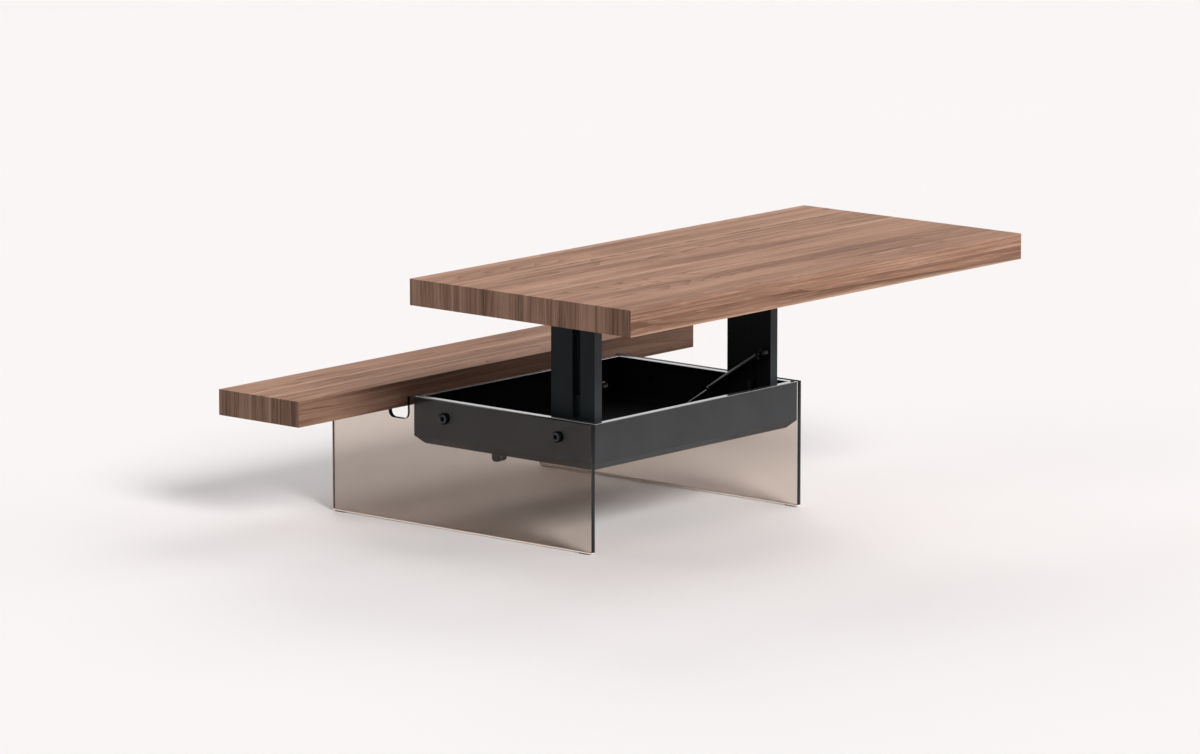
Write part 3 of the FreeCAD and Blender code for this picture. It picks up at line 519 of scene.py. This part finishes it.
def soften(piece, width):
    weld = piece.modifiers.new("weld", "WELD")
    weld.merge_threshold = WELD_REACH
    flat = piece.modifiers.new("flat_faces", "DECIMATE")
    flat.decimate_type = "DISSOLVE"
    flat.angle_limit = math.radians(FLAT_ANGLE)
    bevel = piece.modifiers.new("soft_edges", "BEVEL")
    bevel.width = width * MM
    bevel.segments = 2
    bevel.limit_method = "ANGLE"
    bevel.angle_limit = math.radians(EDGE_ANGLE)
    bevel.use_clamp_overlap = False
    bevel.miter_outer = "MITER_ARC"
    normals = piece.modifiers.new("even_normals", "WEIGHTED_NORMAL")
    normals.keep_sharp = True


for node_name, piece in nodes.items():
    finish = finish_of(node_name)
    piece.data.materials.clear()
    piece.data.materials.append(materials[finish])
    if finish in SOFT_EDGES:
        soften(piece, SOFT_EDGES[finish])


# Pieces made here in place of a node, or beside one

def show(name, mesh, finishes, body):
    """A mesh as a piece on a body. Its faces' material numbers count through the finishes."""
    piece = bpy.data.objects.new(name, mesh)
    scene.collection.objects.link(piece)
    for finish in finishes:
        mesh.materials.append(materials[finish])
    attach(piece, body)
    return piece


def arc(centre, radius, start, end, steps=10):
    """Points on an arc between two angles in degrees."""
    points = []
    for step in range(steps + 1):
        angle = math.radians(start + (end - start) * step / steps)
        points.append((centre[0] + radius * math.cos(angle), centre[1] + radius * math.sin(angle)))
    return points


# The glass panels: their arris, the painted light line at their foot, the notch behind and the drilled
# holes
ARRIS = 0.8 * MM
FOOT_LIGHT_HEIGHT = 3.0 * MM
NOTCH_FRONT = 331.77 * MM
NOTCH_REAR = 389.77 * MM
NOTCH_FLOOR = 246 * MM
NOTCH_ROUND = 14 * MM
BOLT_ROWS = (-126.23 * MM, 217.77 * MM)
BOLT_HEIGHT = 261 * MM
HOLE_RADIUS = 7 * MM
HOLE_STEPS = 35
SHEET_FACING = 0.9
GLASS_FINISHES = ("glass", "glass_edge", "glass_foot")
# Turns a sheet drawn flat in X and Y up into Y and Z
UPRIGHT = Matrix(((0, 0, 1, 0), (1, 0, 0, 0), (0, 1, 0, 0), (0, 0, 0, 1)))


def glass_mesh(name, low, high):
    """A cut sheet with a notch in its top edge, two drilled holes and a polished arris all round."""
    front, rear, floor, top = low[1], high[1], low[2], high[2]
    notch_middle = NOTCH_FLOOR + NOTCH_ROUND
    outline = [(front, floor), (rear, floor), (rear, top), (NOTCH_REAR, top)]
    outline += arc((NOTCH_REAR - NOTCH_ROUND, notch_middle), NOTCH_ROUND, 0, -90)
    outline += arc((NOTCH_FRONT + NOTCH_ROUND, notch_middle), NOTCH_ROUND, -90, -180)
    outline += [(NOTCH_FRONT, top), (front, top)]
    last_step = 360 - 360 / (HOLE_STEPS + 1)
    holes = [arc((row, BOLT_HEIGHT), HOLE_RADIUS, 0, last_step, HOLE_STEPS) for row in BOLT_ROWS]
    curve = bpy.data.curves.new(name, "CURVE")
    curve.dimensions = "2D"
    curve.fill_mode = "BOTH"
    curve.extrude = (high[0] - low[0]) / 2 - ARRIS
    curve.bevel_depth = ARRIS
    curve.bevel_resolution = 0
    curve.offset = -ARRIS
    for loop in [outline] + holes:
        spline = curve.splines.new("POLY")
        spline.points.add(len(loop) - 1)
        for point, (across, up) in zip(spline.points, loop):
            point.co = (across, up, 0.0, 1.0)
        spline.use_cyclic_u = True
    drawn = bpy.data.objects.new(name + "_outline", curve)
    mesh = bpy.data.meshes.new_from_object(drawn)
    bpy.data.objects.remove(drawn)
    middle = (low[0] + high[0]) / 2
    mesh.transform(Matrix.Translation((middle, 0, 0)) @ UPRIGHT)
    mesh.name = name
    form = bmesh.new()
    form.from_mesh(mesh)
    foot = floor + FOOT_LIGHT_HEIGHT
    bmesh.ops.bisect_plane(form, geom=form.verts[:] + form.edges[:] + form.faces[:],
                           plane_co=(0.0, 0.0, foot), plane_no=(0.0, 0.0, 1.0))
    # The strip along the foot gets the pale painted light, and the edge faces the dark grey that is partly
    # painted shade
    for face in form.faces:
        centre = face.calc_center_median()
        if centre.z < foot:
            face.material_index = GLASS_FINISHES.index("glass_foot")
        elif abs(face.normal.x) < SHEET_FACING and centre.y < rear - 2 * ARRIS:
            face.material_index = GLASS_FINISHES.index("glass_edge")
    form.to_mesh(mesh)
    form.free()
    return mesh


TURNS = 48
SMOOTH_ANGLE = 38


def turned(name, start, along, profile, finishes=None):
    """Rings of a radius at a distance along an axis. A third value of 6 makes that ring a hexagon.

    The finishes give a material's number for a step from one ring to the next, if it isn't the first.
    """
    finishes = finishes or {}
    forward = Vector(along).normalized()
    across = forward.orthogonal().normalized()
    upward = forward.cross(across)
    form = bmesh.new()
    rings = []
    for radius, distance, *corners in profile:
        ring = []
        for turn in range(TURNS):
            angle = 2 * math.pi * turn / TURNS
            reach = radius
            if corners:
                sector = 2 * math.pi / corners[0]
                reach = radius * math.cos(sector / 2) / math.cos(angle % sector - sector / 2)
            place = across * (reach * math.cos(angle)) + upward * (reach * math.sin(angle))
            ring.append(form.verts.new(Vector(start) + (forward * distance + place) * MM))
        rings.append(ring)
    for step, (near, far) in enumerate(zip(rings, rings[1:])):
        for turn in range(TURNS):
            after = (turn + 1) % TURNS
            face = form.faces.new((near[turn], near[after], far[after], far[turn]))
            face.material_index = finishes.get(step, 0)
    form.faces.new(reversed(rings[0]))
    form.faces.new(rings[-1])
    bmesh.ops.recalc_face_normals(form, faces=form.faces)
    mesh = bpy.data.meshes.new(name)
    form.to_mesh(mesh)
    form.free()
    mesh.shade_smooth()
    mesh.set_sharp_from_angle(angle=math.radians(SMOOTH_ANGLE))
    return mesh


def joined(name, meshes):
    """Several meshes as one."""
    form = bmesh.new()
    for mesh in meshes:
        form.from_mesh(mesh)
        bpy.data.meshes.remove(mesh)
    whole = bpy.data.meshes.new(name)
    form.to_mesh(whole)
    form.free()
    return whole


# A bolt, from the end of its shank out to its head and down into its socket
BOLT = (
    (3.4, -23.5), (4.0, -22.9), (4.0, 1.0),
    (13.2, 1.0), (14.0, 1.6), (14.0, 3.2), (13.8, 4.0), (13.2, 4.7), (12.1, 5.4),
    (10.2, 6.2), (8.1, 6.8), (6.5, 7.0), (5.9, 6.9), (5.2, 6.3),
    (4.9, 6.0, 6), (4.7, 5.5, 6), (4.7, 2.4, 6), (1.4, 2.0),
)
BOLT_FINISHES = ("bolt", "bolt_highlight", "rod")
# The steps of its profile that carry painted highlights: a lighter grey metal on its domed face, and
# brighter bare metal on its socket's walls, where the light catches the head
BOLT_HIGHLIGHTS = {9: 1, 10: 1, 14: 2, 15: 2}
# A strut's barrel, from its closed end to the mouth that the rod comes out of, and back along its bore
BARREL = (
    (4.6, 0.0), (6.9, 0.0), (8.2, 0.7), (8.9, 2.0), (9.0, 3.6),
    (9.0, 168.4), (8.8, 169.2), (8.3, 169.9), (8.2, 170.7), (8.3, 171.5), (8.8, 172.2), (9.0, 173.0),
    (9.0, 177.6), (8.8, 179.0), (8.1, 180.2), (6.9, 180.9), (6.2, 181.0), (6.1, 180.4), (6.1, 178.4),
    (4.2, 178.4), (4.2, 5.0),
)
# The plastic gland in the mouth
GLAND = (
    (4.15, 178.5), (6.0, 178.5), (6.0, 181.4), (5.6, 181.9), (4.6, 181.9), (4.15, 181.4), (4.15, 178.5),
)
GLASS_OUTSIDE = 375 * MM
# The strut's two pins, in Y and Z, the plane that it lies in, and how far its barrel starts from the stud
STUD_PLACE = (-187.233 * MM, 374.206 * MM)
ANCHOR_PLACE = (122.767 * MM, 172.0 * MM)
STRUT_PLANE = 287 * MM
BARREL_START = 18.0 * MM

bolts = []
for side, sign in SIDES.items():
    panel = "glass_panel_" + side
    glass = show("clear_" + panel, glass_mesh(panel, *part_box(panel)), GLASS_FINISHES, "base")
    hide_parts(panel)
    for row in BOLT_ROWS:
        seat = (sign * GLASS_OUTSIDE, row, BOLT_HEIGHT)
        bolts.append(turned("bolt", seat, (sign, 0, 0), BOLT, BOLT_HIGHLIGHTS))
    stud = Vector((sign * STRUT_PLANE, *STUD_PLACE))
    down = Vector((sign * STRUT_PLANE, *ANCHOR_PLACE)) - stud
    start = stud + down.normalized() * BARREL_START
    body = "strut_barrel_" + side
    barrel = show("gas_barrel_" + side, turned(body, start, down, BARREL), ("strut",), body)
    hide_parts(body)
    gland = show("strut_gland_" + side, turned("gland", start, down, GLAND), ("bush",), body)
heads = show("socket_bolts", joined("socket_bolts", bolts), BOLT_FINISHES, "base")
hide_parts("glass_bolts")


# Floor, light and camera

FLOOR_HALF = 60.0
FLOOR_DARK = (0.882, 0.850, 0.844)
FLOOR_LIGHT = (0.888, 0.856, 0.850)


def pale_floor():
    mesh = bpy.data.meshes.new("floor")
    form = bmesh.new()
    bmesh.ops.create_grid(form, x_segments=1, y_segments=1, size=FLOOR_HALF)
    form.to_mesh(mesh)
    form.free()
    floor = bpy.data.objects.new("floor", mesh)
    scene.collection.objects.link(floor)
    tree = Tree("pale_floor", Specular_IOR_Level=0.0, Roughness=1.0)
    cloud = tree.noise(tree.vector(*tree.position()), scale=0.4, detail=2.0)
    tree.colour(tree.tones(cloud, FLOOR_DARK, FLOOR_LIGHT))
    mesh.materials.append(tree.material)


# Large soft lamps: bearing from +X to +Y, height above the floor and width in degrees, and strength
LAMPS = {
    "front_key": (246, 30, 19, 0.92),
    "right_fill": (0, 40, 34, 0.25),
    "rear_right_fill": (45, 28, 34, 0.31),
    "rear_fill": (95, 28, 40, 0.17),
    "left_fill": (180, 28, 40, 0.13),
    "front_right_fill": (315, 28, 40, 0.18),
    "top_fill": (0, 90, 60, 0.07),
}
# The one lamp that shows in polished surfaces
MIRRORED_LAMP = "front_key"
# The room's own light, and what a polished surface mirrors of its pale walls
ROOM_TINT = (1.0, 0.99, 0.98, 1.0)
ROOM_GLOW = 0.02
WALL_GLOW = 1.0


def studio_light():
    world = bpy.data.worlds.new("studio")
    scene.world = world
    world.use_nodes = True
    sky = world.node_tree
    background = sky.nodes["Background"]
    background.inputs["Color"].default_value = ROOM_TINT
    background.inputs["Strength"].default_value = ROOM_GLOW
    wall = sky.nodes.new("ShaderNodeBackground")
    wall.inputs["Strength"].default_value = WALL_GLOW
    paths = sky.nodes.new("ShaderNodeLightPath")
    either = sky.nodes.new("ShaderNodeMixShader")
    sky.links.new(paths.outputs["Is Glossy Ray"], either.inputs[0])
    sky.links.new(background.outputs[0], either.inputs[1])
    sky.links.new(wall.outputs[0], either.inputs[2])
    sky.links.new(either.outputs[0], sky.nodes["World Output"].inputs["Surface"])
    for name, (bearing, height, width, strength) in LAMPS.items():
        sun = bpy.data.lights.new(name, "SUN")
        sun.energy = math.pi * strength
        sun.angle = math.radians(width)
        lamp = bpy.data.objects.new(name, sun)
        scene.collection.objects.link(lamp)
        turn = math.radians(bearing)
        lift = math.radians(height)
        level = math.cos(lift)
        towards = Vector((math.cos(turn) * level, math.sin(turn) * level, math.sin(lift)))
        lamp.rotation_euler = towards.to_track_quat("Z", "Y").to_euler()
        lamp.visible_glossy = name == MIRRORED_LAMP


# The camera: place in metres, yaw and pitch in degrees, lens and sensor in millimetres, and its reach
CAMERA_PLACE = (-12.7134, -10.8564, 3.3567)
CAMERA_YAW = 40.672
CAMERA_PITCH = 10.253
CAMERA_LENS = 220.07
CAMERA_SENSOR = 36.0
CAMERA_REACH = 200.0


def photo_camera():
    data = bpy.data.cameras.new("camera")
    data.sensor_fit = "HORIZONTAL"
    data.sensor_width = CAMERA_SENSOR
    data.lens = CAMERA_LENS
    data.clip_end = CAMERA_REACH
    camera = bpy.data.objects.new("camera", data)
    scene.collection.objects.link(camera)
    camera.location = CAMERA_PLACE
    camera.rotation_euler = (math.radians(90 - CAMERA_PITCH), 0.0, math.radians(CAMERA_YAW - 90))
    scene.camera = camera


scene.view_settings.view_transform = "Standard"
pale_floor()
studio_light()
photo_camera()
